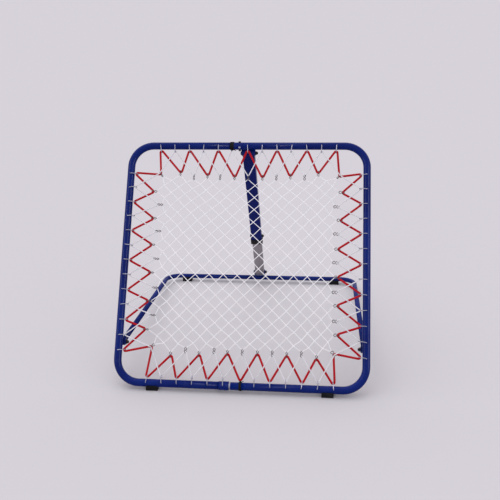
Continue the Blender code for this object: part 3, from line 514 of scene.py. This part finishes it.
def braid(name, length, stitch, colour, gap_shade_and_grime, thread):
    """Braided cover: strands slanting both ways round the cord, raised in the middle, with painted shade
    between.
    """
    finish = Finish(name, Roughness=0.62, Specular_IOR_Level=0.12)
    place = finish.place(source="UV")
    around = finish.node("ShaderNodeSeparateXYZ", {}, {0: place}, 0) * (4 * math.tau)
    along = finish.node("ShaderNodeSeparateXYZ", {}, {0: place}, 1) * (length / stitch * math.tau)
    rising = (along + around).sine()
    falling = (along - around).sine()
    strands = finish.spread((rising * falling).size(), 0.0, 0.45)
    flecks = finish.spread(((along + around * 0.5) * 0.5).sine(), 0.90, 0.97)
    grime = finish.spread(finish.noise(finish.place(), 26.0, 5.0), 0.42, 0.72)
    # Painted shade: the gaps between the strands get the darker colour, and random grime darkens towards it
    # too.
    body = finish.blend(strands, (*gap_shade_and_grime, 1), (*colour, 1))
    marked = finish.blend(flecks * 0.5, body, (*thread, 1))
    finish.feed(
        Base_Color=finish.blend(grime * 0.22, marked, (*gap_shade_and_grime, 1)),
        Normal=finish.bump(strands, 0.55, 0.0005),
    )
    return finish


def elastic(name, node, last_hook, radius, out, stitch, colours):
    """One elastic on its hooks and links, a little wavy, with a braid that repeats once a stitch."""
    line = pulled_tight(lacing(last_hook), radius + HOOK_WIRE_R + SNUG, 7)
    length = sum((b - a).length for a, b in zip(line, line[1:] + line[:1]))
    waver = [(x, y, out + 0.0006 * math.sin(17 * i)) for i, (x, y) in enumerate(line)]
    work = cord_mesh(name, [waver], radius, 12, closed=True)
    finish = braid(name + "_cover", length, stitch, *colours)
    cord = loose_object(name, work, finish, "front_frame", FRAME_PLANE)
    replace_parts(cord, node)


# Each cover: its colour, the painted shade between its strands (also the grime's colour), and its flecks'
# colour.
RED_COVER = ((0.47, 0.0015, 0.010), (0.31, 0.001, 0.006), (0.55, 0.018, 0.026))
WHITE_COVER = ((0.77, 0.76, 0.79), (0.56, 0.55, 0.59), (0.84, 0.84, 0.87))
elastic("red_lacing", "red_elastic", 6, RED_R, RED_OUT, 0.006, RED_COVER)
elastic("white_lacing", "white_elastic", 5, WHITE_R, WHITE_OUT, 0.0045, WHITE_COVER)


# ---- Wire hooks of the frame ----
# Each is bent from 3 mm zinc plated wire. The straight end sits in a hole drilled in the front of the tube,
# and the bent end holds a turn of elastic.


def rounded_line(points, steps=5):
    """A smooth line through points."""
    points = [Vector(point) for point in points]
    padded = [2 * points[0] - points[1], *points, 2 * points[-1] - points[-2]]
    line = []
    for before, start, end, after in zip(padded, padded[1:], padded[2:], padded[3:]):
        for step in range(steps):
            t = step / steps
            square = (2 * before - 5 * start + 4 * end - after) * t**2
            cube = (3 * start - before - 3 * end + after) * t**3
            line.append(0.5 * (2 * start + (end - before) * t + square + cube))
    return line + [points[-1]]


def hook_line(side, i):
    """One hook, from inside its hole round to its free end, leaning with the pull of the elastic."""
    lift = 0 if i % 2 == 0 else WHITE_OUT - RED_OUT
    root = TUBE_R + 0.002 if (side, i) == ("bottom", 1) else TUBE_R  # one comes out of the sleeve
    lean = hook_slip[side, i] * 2.2 - (0.0045 * np.sign(i) if abs(i) == 6 else 0)
    # Distance in from the tube's centre line, out from the frame's plane, and share of the lean.
    profile = (
        (0.0, root - 0.0015, -1.0),
        (0.0003, root + 0.0010, -0.9),
        (0.0025, root + 0.0032, -0.7),
        (0.0100, root + 0.0036, -0.4),
        (0.0240, 0.0142 + lift, -0.1),
        (0.0290, 0.0108 + lift, 0.0),
        (0.0302, 0.0045 + lift, 0.0),
        (0.0290, -0.0020 + lift, 0.0),
        (0.0245, -0.0034 + lift, 0.0),
        (0.0215, -0.0014 + lift, 0.0),
    )
    line = []
    for inward, out, share in profile:
        spot = side_point(side, hook_place(side, i) + lean * share, HALF - inward)
        line.append((spot.x, spot.y, out))
    return rounded_line(line)


hook_lines = [
    hook_line(side, i)
    for side in SIDES
    for i in range(-6, 7)
    if (side, i) not in BAND_AT
]
hook_work = cord_mesh("wire_hooks", hook_lines, HOOK_WIRE_R, 8)
loose_object("wire_hooks", hook_work, zinc, "front_frame", FRAME_PLANE)


# ---- Links between net and elastics ----
# Small S hooks of dark spring wire. The outer loop holds a turn of elastic, and the inner one the twine at
# a tip of the net.

spring_wire = Finish("dark_spring_wire", Metallic=0.5, Specular_IOR_Level=0.3)
place = spring_wire.place()
tarnish = spring_wire.spread(spring_wire.noise(place, 130.0, 4.0), 0.35, 0.7)
spring_wire.feed(
    Base_Color=spring_wire.blend(tarnish, (0.045, 0.042, 0.042, 1), (0.14, 0.13, 0.13, 1)),
    Roughness=spring_wire.spread(tarnish, 0.0, 1.0, 0.30, 0.50),
)
LINK_LENGTH = 0.0215
LOOP_R = 0.0058
LINK_WIRE_R = 0.0014
LINK_TWIST = {"top": 50, "right": 15, "bottom": 55, "left": 68}  # degrees from the net's plane


def link_line(side, i):
    """An S hook lying along the pull, with its loops turned half out of the net's plane."""
    along, reach = link_place(side, i)
    out = side_point(side, along, reach)
    if i == 6:
        inward = (side_point(side, 0, 0) - out).normalized()
    else:
        inward = (side_point(side, along, 0) - side_point(side, along, 1)).normalized()
    across = Vector((-inward.y, inward.x))
    twist = math.radians(LINK_TWIST[side] + 900 * link_slip[side, i][0])
    level = WHITE_OUT - 0.002 if i % 2 == 0 and i != 6 else (RED_OUT + WHITE_OUT) / 2
    line = []
    for centre, start, stop in ((LOOP_R, 40, 270), (LINK_LENGTH - LOOP_R, 90, -140)):
        for step in range(10):
            angle = math.radians(start + (stop - start) * step / 9)
            along_pull = centre + LOOP_R * math.cos(angle)
            sideways = LOOP_R * math.sin(angle)
            flat = out + inward * along_pull + across * (sideways * math.cos(twist))
            line.append((flat.x, flat.y, level + sideways * math.sin(twist)))
    return line


link_lines = [link_line(side, i) for side in SIDES for i in range(-5, 7)]
link_work = cord_mesh("net_links", link_lines, LINK_WIRE_R, 6)
loose_object("net_links", link_work, spring_wire, "front_frame", FRAME_PLANE)


# ---- Net ----
# White twine, knotted into 13 diamonds each way. A link holds each tip of its edge, and each
# corner link holds the two tips beside it.

DIAMONDS = 13
SLACK_SIDE = 0.69  # the net's side before it is hung
TWINE_R = 0.0014
KNOT_R = 0.0027
TIP_SEAT = 0.0026  # how far a tip sits inside the end of its link
EASY_SPAN = 0.030  # a thread shorter than this hardly pulls
NET_OUT = 0.0065
SAG = 0.004
SAG_REACH = 0.36
LAST = 2 * DIAMONDS
spots = {}
held = {}
for across in range(LAST + 1):
    for up in range(LAST + 1):
        if (across + up) % 2:
            spot = ((across / LAST - 0.5) * SLACK_SIDE, MID + (up / LAST - 0.5) * SLACK_SIDE)
            spots[across, up] = Vector(spot)
for i in range(-6, 7):
    for side, key in (
        ("top", (DIAMONDS + 2 * i, LAST)),
        ("bottom", (DIAMONDS - 2 * i, 0)),
        ("right", (LAST, DIAMONDS - 2 * i)),
        ("left", (0, DIAMONDS + 2 * i)),
    ):
        if abs(i) < 6:
            along, reach = link_place(side, i)
            held[key] = side_point(side, along, reach - LINK_LENGTH + TIP_SEAT)
        else:
            corner = side if i == 6 else SIDES[SIDES.index(side) - 1]
            step_in = (LINK_LENGTH - TIP_SEAT) / math.sqrt(2)
            along, reach = link_place(corner, 6)
            held[key] = side_point(corner, along - step_in, reach - step_in)
threads = [
    ((a, b), (a + 1, b + turn)) for a, b in spots for turn in (-1, 1) if (a + 1, b + turn) in spots
]
keys = list(spots)
index = {key: n for n, key in enumerate(keys)}
knots = np.array([held.get(key, spots[key])[:] for key in keys])
fixed = np.array([key in held for key in keys])
start_of = np.array([index[a] for a, b in threads])
end_of = np.array([index[b] for a, b in threads])
# The threads pull on their knots until the net hangs evenly between its links.
for _ in range(700):
    pull = knots[end_of] - knots[start_of]
    span = np.linalg.norm(pull, axis=1, keepdims=True)
    force = pull * (1 - EASY_SPAN / np.maximum(span, 1e-6)).clip(0.12, 1)
    moved = np.zeros_like(knots)
    np.add.at(moved, start_of, force)
    np.add.at(moved, end_of, -force)
    knots += np.where(fixed[:, None], 0, moved * 0.22)
knots += np.where(fixed[:, None], 0, fingers.normal(0, 0.0009, knots.shape))
middle = (1 - (knots[:, 0] / SAG_REACH) ** 2) * (1 - ((knots[:, 1] - MID) / SAG_REACH) ** 2)
sag = NET_OUT - SAG * middle.clip(0, 1)


def twine_runs(turn):
    """Each thread of the net that runs from the left to the right edge, rising or falling."""
    runs = []
    for a, b in keys:
        if (a - 1, b - turn) in index:
            continue
        run = []
        while (a, b) in index:
            run.append(index[a, b])
            a, b = a + 1, b + turn
        runs.append(run)
    return [run for run in runs if len(run) > 1]


twine_lines = []
for turn, level in ((1, 0.0007), (-1, -0.0007)):
    for run in twine_runs(turn):
        twine_lines.append([(*knots[n], sag[n] + level) for n in run])
net_work = cord_mesh("knotted_net", twine_lines, TWINE_R, 6)
for n, key in enumerate(keys):
    if key in held:
        continue
    matrix = Matrix.Translation((*knots[n], sag[n])) @ Matrix.Diagonal((1.15, 1.15, 0.9, 1))
    bmesh.ops.create_icosphere(net_work, subdivisions=1, radius=KNOT_R, matrix=matrix)

twine = Finish("net_twine", Roughness=0.75, Sheen_Weight=0.2)
place = twine.place()
fibres = twine.noise(place, 900.0, 2.0)
soiled = twine.spread(twine.noise(place, 11.0, 4.0), 0.45, 0.75)
twine.feed(
    Base_Color=twine.blend(soiled * 0.4, (0.82, 0.81, 0.83, 1), (0.68, 0.66, 0.67, 1)),
    Normal=twine.bump(fibres, 0.5, 0.0004),
)
net = loose_object("knotted_net", net_work, twine, "front_frame", FRAME_PLANE)
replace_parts(net, "net")


# ---- Black cord bands ----
# Tarred cord, wound round the tube and knotted. It holds an elastic at the two places where the frame's
# joints leave no room for a hook.

tarred = Finish("tarred_cord", Roughness=0.7, Specular_IOR_Level=0.12)
place = tarred.place()
fuzz = tarred.noise(place, 700.0, 3.0)
tarred.feed(
    Base_Color=tarred.blend(
        tarred.spread(fuzz, 0.4, 0.7), (0.003, 0.003, 0.004, 1), (0.014, 0.013, 0.014, 1)
    ),
    Normal=tarred.bump(fuzz, 0.6, 0.0005),
)


def cord_band(name, node, low, high, up, inward, held_at):
    """Close turns round the tube, then a stretch out to the elastic, a knot and a short tail."""
    thick = 0.0011
    turns = round((high - low) / (2.1 * thick))
    coil = TUBE_R + thick + 0.0003
    line = []
    for step in range(turns * 18 + 1):
        angle = math.tau * step / 18
        x = low + thick + (high - low - 2 * thick) * step / (turns * 18)
        line.append((x, up + inward * coil * math.cos(angle), coil * math.sin(angle)))
    middle = (low + high) / 2
    reach = up + inward * held_at[0]
    out = held_at[1]
    loop = rounded_line([
        (middle - 0.002, up + inward * coil * 0.98, 0.004),
        (middle - 0.0025, up + inward * (coil + 0.004), out * 0.8),
        (middle, reach, out + 0.003),
        (middle + 0.0025, up + inward * (coil + 0.004), out * 0.8),
        (middle + 0.002, up + inward * coil * 0.98, 0.003),
    ])
    tail = rounded_line([
        (high - 0.002, up + inward * coil, 0.002),
        (high + 0.003, up + inward * (coil + 0.003), 0.004),
        (high + 0.007, up + inward * (coil + 0.0035), 0.001),
    ])
    work = cord_mesh(name, [line, loop, tail], thick, 8)
    knot = Matrix.Translation((middle, up + inward * (coil + 0.0022), 0.006))
    flattened = Matrix.Diagonal((1.3, 0.9, 1, 1))
    bmesh.ops.create_icosphere(work, subdivisions=1, radius=0.0028, matrix=knot @ flattened)
    band = loose_object(name, work, tarred, "front_frame", FRAME_PLANE)
    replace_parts(band, node)


cord_band("top_lashing", "top_cord_band", -0.0735, -0.0555, FRAME_SIDE - TUBE_R, -1, (0.026, 0.011))
cord_band("bottom_lashing", "bottom_cord_band", 0.0, 0.012, TUBE_R, 1, (0.025, 0.0045))


# ---- Rear base tubes ----
# Two halves of 22 mm steel tube make a U, in the same blue powder coat. They are plugged together in the
# middle of the rear, with a zinc plated plug inside.

base_pivot = Vector(joints["base_fold"]["pos_m"])
BASE_SLOPE = math.radians(-7.70517)
BASE_PLANE = Matrix.Translation(base_pivot) @ Matrix.Rotation(BASE_SLOPE, 4, "X")
BASE_TUBE_R = 0.011
BASE_TUBE_WALL = 0.0015
ARM_INSET = 0.006
ARM_PAST_PIVOT = 0.006
BASE_HALF = HALF - ARM_INSET
BASE_LENGTH = 0.817
BASE_BEND_R = 0.070
REAR_SPLIT = -0.027
REAR_GAP = 0.0003
base_blue = powder_coat("base_blue", (0.0016, 0.0090, 0.100), (0.0026, 0.0140, 0.135), 0.20)


def base_half(name, side, joint_x):
    """One half of the base, from its end at the rear joint round the corner and along the arm."""
    work = bmesh.new()
    ring = start_ring(work, BASE_TUBE_R, (joint_x, BASE_LENGTH, 0), 32)
    ring = draw_on(work, ring, (side * (BASE_HALF - BASE_BEND_R) - joint_x, 0, 0))
    centre = (side * (BASE_HALF - BASE_BEND_R), BASE_LENGTH - BASE_BEND_R, 0)
    ring = bend_on(work, ring, centre, -90 * side)
    draw_on(work, ring, (0, -BASE_LENGTH + BASE_BEND_R - ARM_PAST_PIVOT, 0))
    tube = loose_object(name, work, base_blue, "base", BASE_PLANE)
    return give_wall(tube, BASE_TUBE_WALL)


base_left = base_half("base_left_half", -1, REAR_SPLIT - REAR_GAP / 2)
base_right = base_half("base_right_half", 1, REAR_SPLIT + REAR_GAP / 2)
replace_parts(base_left, "base_tube_left")
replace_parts(base_right, "base_tube_right")
rear_plug = straight_tube(
    "rear_plug", 0.0092, 0.0013, -0.087, 0.033, zinc, BASE_LENGTH, "base", BASE_PLANE
)
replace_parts(rear_plug, "rear_joint_spigot")


# ---- Side pivots ----
# A short channel of pressed steel behind each side tube, painted with it. An arm of the base turns in it on
# a bolt, and a black moulded plug closes the arm's end.


def eased(node, name, finish, body, radius, segments=2):
    """The same piece with its sharp edges rounded over."""
    work = bmesh.new()
    work.from_mesh(nodes[node].data)
    bmesh.ops.remove_doubles(work, verts=work.verts, dist=2e-6)
    bmesh.ops.dissolve_limit(work, angle_limit=math.radians(1.5), verts=work.verts, edges=work.edges)
    sharp = [e for e in work.edges if e.is_manifold and e.calc_face_angle() > math.radians(40)]
    bmesh.ops.bevel(
        work, geom=sharp, offset=radius, offset_type="OFFSET", segments=segments, profile=0.5,
        affect="EDGES", clamp_overlap=True, material=-1,
    )
    obj = loose_object(name, work, finish, body)
    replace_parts(obj, node)
    return obj


moulded = Finish("black_moulding", Specular_IOR_Level=0.16)
place = moulded.place()
grain = moulded.noise(place, 520.0, 3.0)
moulded.feed(
    Base_Color=moulded.blend(
        moulded.spread(grain, 0.4, 0.7), (0.004, 0.004, 0.006, 1), (0.011, 0.011, 0.014, 1)
    ),
    Roughness=moulded.spread(moulded.noise(place, 40.0), 0.35, 0.65, 0.42, 0.60),
    Normal=moulded.bump(grain, 0.25, 0.0003),
)
for side in ("left", "right"):
    eased("pivot_lug_" + side, "arm_lug_" + side, frame_blue, "front_frame", 0.0006)
    eased("arm_plug_" + side, "arm_end_plug_" + side, moulded, "base", 0.0005)


# ---- Rubber feet ----
# Four moulded blocks of black rubber, two under the frame's lower tube and two under the rear of the base.
# Each is held by a screw from below.

rubber = Finish("foot_rubber", Specular_IOR_Level=0.12)
place = rubber.place()
dust = rubber.spread(rubber.noise(place, 60.0, 5.0), 0.45, 0.75)
rubber.feed(
    Base_Color=rubber.blend(dust * 0.5, (0.005, 0.005, 0.007, 1), (0.026, 0.025, 0.028, 1)),
    Roughness=rubber.spread(dust, 0.0, 1.0, 0.62, 0.85),
    Normal=rubber.bump(rubber.noise(place, 800.0, 2.0), 0.3, 0.0004),
)
for side in ("left", "right"):
    eased("front_foot_" + side, "front_pad_" + side, rubber, "front_frame", 0.0016, 3)
    eased("rear_foot_" + side, "rear_pad_" + side, rubber, "base", 0.0016, 3)


# ---- Hanger and shoe of the strut ----
# Two brackets of pressed steel, painted with the tubes they are fixed to. The strut hangs from a bolt in the
# hanger at the top tube, and stands on a bolt in the shoe at the rear of the base.

eased("top_bracket", "strut_hanger", frame_blue, "front_frame", 0.0006)
eased("strut_foot_bracket", "strut_shoe", base_blue, "base", 0.0006)


# ---- Outer tube of the strut ----
# A steel box tube in the same blue powder coat. A moulded cap closes its top, and a moulded collar at its
# lower end guides the slider.

strut_blue = powder_coat("strut_blue", (0.0010, 0.0060, 0.090), (0.0018, 0.0095, 0.120), 0.15)
eased("strut_outer_tube", "strut_sheath", strut_blue, "strut_upper", 0.0003, 1)
eased("strut_top_cap", "strut_lid", moulded, "strut_upper", 0.0004)
eased("strut_collar", "strut_guide", moulded, "strut_upper", 0.0008)


# ---- Slider of the strut ----
# A smaller grey box tube that slides in the outer one and is rubbed bright along its length, with a grey
# foot that turns on the shoe's bolt.

STRUT_SLOPE = math.radians(-25.841)
slider = Finish("slider_grey", Metallic=0.35)
drag = slider.noise(slider.place((1.0, 1.0, 0.02), (STRUT_SLOPE, 0, 0)), 260.0, 4.0, 0.6)
blotch = slider.noise(slider.place(), 18.0, 4.0)
rubs = slider.spread(drag, 0.52, 0.70)
greys = slider.blend(
    slider.spread(blotch, 0.3, 0.7), (0.225, 0.202, 0.224, 1), (0.275, 0.252, 0.275, 1)
)
slider.feed(
    Base_Color=slider.blend(rubs * 0.6, greys, (0.38, 0.36, 0.38, 1)),
    Roughness=slider.spread(rubs, 0.0, 1.0, 0.46, 0.34),
    Normal=slider.bump(drag, 0.10, 0.0003),
)
eased("strut_inner_tube", "strut_slider", slider, "strut_lower", 0.0003, 1)
eased("strut_foot", "slider_shoe", slider, "strut_lower", 0.0006)


# ---- Bolts and nuts ----
# Black plated hexagon bolts, each with a washer and a domed nut, on which the arms, the strut and its foot
# turn. One more clamps the slider, and a plain one with its nut locks the joint at the top.

HEAD_R = 0.0075
HEAD_HEIGHT = 0.0053  # from the seat of the washer
FLATS_HEIGHT = 0.0064  # a nut's, up to its dome
WASHER_THICK = 0.0011
SHANK_R = 0.0039
DOME_R = 0.0060
black_plate = Finish("black_plated_steel", Metallic=0.3, Specular_IOR_Level=0.3)
place = black_plate.place()
scuff = black_plate.spread(black_plate.noise(place, 170.0, 5.0, 0.6), 0.55, 0.75)
black_plate.feed(
    Base_Color=black_plate.blend(scuff, (0.006, 0.006, 0.009, 1), (0.075, 0.075, 0.085, 1)),
    Roughness=black_plate.spread(scuff, 0.0, 1.0, 0.30, 0.45),
)


def turned(centre):
    """Stands a shape made round Z on an axis that runs along X."""
    return Matrix.Translation(centre) @ Matrix.Rotation(math.radians(90), 4, "Y")


def washer(work, x, y, z):
    """A washer round X, a little wider than a bolt's head."""
    radius = HEAD_R * 1.12
    made = bmesh.ops.create_cone(
        work, cap_ends=True, segments=32, radius1=radius, radius2=radius, depth=WASHER_THICK,
        matrix=turned((x, y, z)),
    )
    edges = {e for v in made["verts"] for e in v.link_edges if len(e.link_faces) == 2}
    rims = [e for e in edges if e.calc_face_angle() > 1]
    bmesh.ops.bevel(work, geom=rims, offset=0.0003, segments=2, profile=0.5, affect="EDGES", material=-1)


def hexagon(work, low, high, y, z, chamfered):
    """A hexagon between two places on X, with the corners turned off its outer end."""
    made = bmesh.ops.create_cone(
        work, cap_ends=True, segments=6, radius1=HEAD_R, radius2=HEAD_R, depth=abs(high - low),
        matrix=turned(((low + high) / 2, y, z)),
    )
    outer = [v for v in made["verts"] if abs(v.co.x - chamfered) < 1e-5]
    rim = list({e for v in outer for e in v.link_edges if all(w in outer for w in e.verts)})
    bmesh.ops.bevel(work, geom=rim, offset=0.0009, segments=3, profile=0.5, affect="EDGES", material=-1)


def black_bolt(name, node, body, way):
    """A bolt whose head faces way along X: head, washer under it and shank."""
    low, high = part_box(node)
    y, z = (low[1] + high[1]) / 2, (low[2] + high[2]) / 2
    outer, inner = (high[0], low[0]) if way > 0 else (low[0], high[0])
    seat = outer - way * HEAD_HEIGHT
    work = bmesh.new()
    washer(work, seat + way * 0.0006, y, z)
    hexagon(work, seat + way * 0.00115, outer, y, z, outer)
    bmesh.ops.create_cone(
        work, cap_ends=True, segments=20, radius1=SHANK_R, radius2=SHANK_R, depth=abs(seat - inner),
        matrix=turned(((seat + inner) / 2, y, z)),
    )
    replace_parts(loose_object(name, work, black_plate, body), node)


def domed_nut(name, node, body, way):
    """A nut that closes over the bolt's end, with its washer."""
    low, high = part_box(node)
    y, z = (low[1] + high[1]) / 2, (low[2] + high[2]) / 2
    outer, seat = (high[0], low[0]) if way > 0 else (low[0], high[0])
    work = bmesh.new()
    washer(work, seat + way * 0.0006, y, z)
    edge = seat + way * FLATS_HEIGHT
    hexagon(work, seat + way * 0.00115, edge, y, z, edge)
    dome = bmesh.ops.create_uvsphere(work, u_segments=24, v_segments=12, radius=DOME_R)["verts"]
    squashed = Matrix.Diagonal((abs(outer - edge) / DOME_R, 1, 1, 1))
    seated = Matrix.Translation((edge, y, z)) @ squashed @ turned((0, 0, 0))
    bmesh.ops.transform(work, verts=dome, matrix=seated)
    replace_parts(loose_object(name, work, black_plate, body), node)


black_bolt("arm_bolt_left", "pivot_bolt_left", "front_frame", -1)
black_bolt("arm_bolt_right", "pivot_bolt_right", "front_frame", 1)
domed_nut("arm_nut_left", "pivot_nut_left", "front_frame", 1)
domed_nut("arm_nut_right", "pivot_nut_right", "front_frame", -1)
black_bolt("hanger_bolt", "top_pivot_bolt", "front_frame", -1)
domed_nut("hanger_nut", "top_pivot_nut", "front_frame", 1)
black_bolt("shoe_bolt", "foot_pivot_bolt", "base", -1)
domed_nut("shoe_nut", "foot_pivot_nut", "base", 1)
black_bolt("clamp_screw", "clamp_bolt", "strut_upper", -1)
domed_nut("clamp_dome", "clamp_nut", "clamp_nut", 1)
eased("top_joint_bolt", "joint_bolt", black_plate, "front_frame", 0.0004)
eased("top_joint_nut", "joint_nut", black_plate, "front_frame", 0.0004)


# ---- Snap buttons and foot screws ----
# Zinc plated spring buttons lock the plug joints of the frame and base, each on a leaf spring inside the
# tube. Cross-head screws of the same finish hold the four feet.

eased("top_snap_button", "frame_button", zinc, "top_button", 0.0003)
eased("rear_snap_button", "base_button", zinc, "rear_button", 0.0003)
for joint, node, name, body, keep in (
    ("top_button_press", "top_button_spring", "frame_button_spring", "front_frame", 0.78),
    ("rear_button_press", "rear_button_spring", "base_button_spring", "base", 0.66),
):
    spring = eased(node, name, zinc, body, 0.0001, 1)
    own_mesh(spring)
for side in ("left", "right"):
    eased("front_foot_screw_" + side, "front_screw_" + side, zinc, "front_frame", 0.0003)
    eased("rear_foot_screw_" + side, "rear_screw_" + side, zinc, "base", 0.0003)
